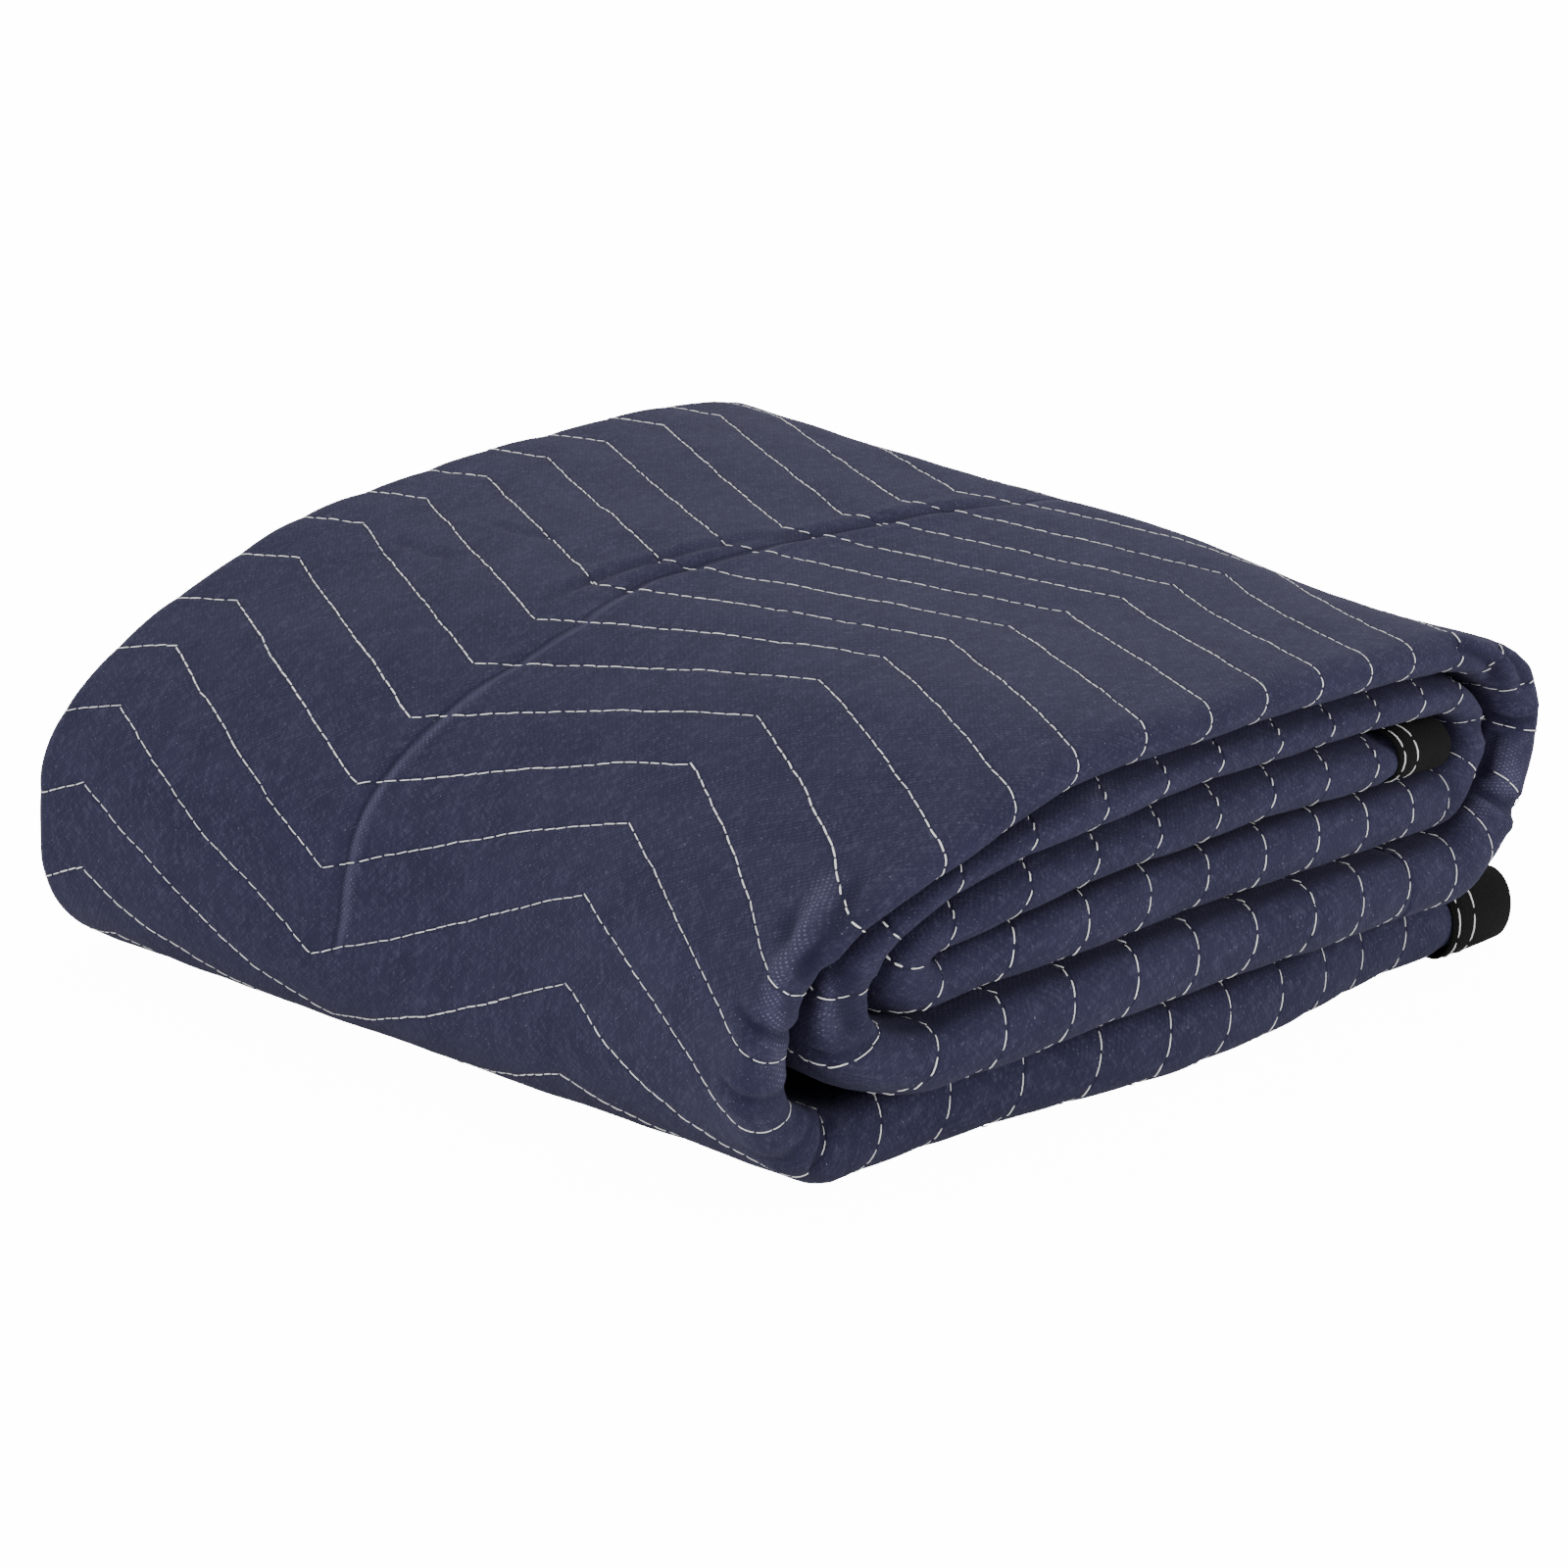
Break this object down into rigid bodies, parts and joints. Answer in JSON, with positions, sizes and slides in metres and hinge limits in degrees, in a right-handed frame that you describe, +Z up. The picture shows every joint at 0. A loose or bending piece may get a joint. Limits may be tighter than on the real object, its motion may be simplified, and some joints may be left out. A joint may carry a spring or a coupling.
{
  "type": "moving blanket",
  "caption": "Quilted moving blanket folded for storage: a strip folded widthwise, then rolled flat into a stack of layers, with a bound edge at each end.",
  "frame": {"origin": "middle of the bottom of the folded blanket's bounding box, on the surface it rests on", "axes": "+X along the layered front from the large wrap-round fold to the bound end, -Y out of the layered front, +Z up through the layers"},
  "size_m": [0.3508, 0.324, 0.1273],
  "materials": {
    "cloth": "matt non-woven cloth, quilted",
    "binding": "matt woven tape",
    "thread": "spun sewing thread"
  },
  "bodies": {
    "root": {"blanket": "cloth", "binding_outer": "binding", "binding_inner": "binding"}
  },
  "joints": []
}
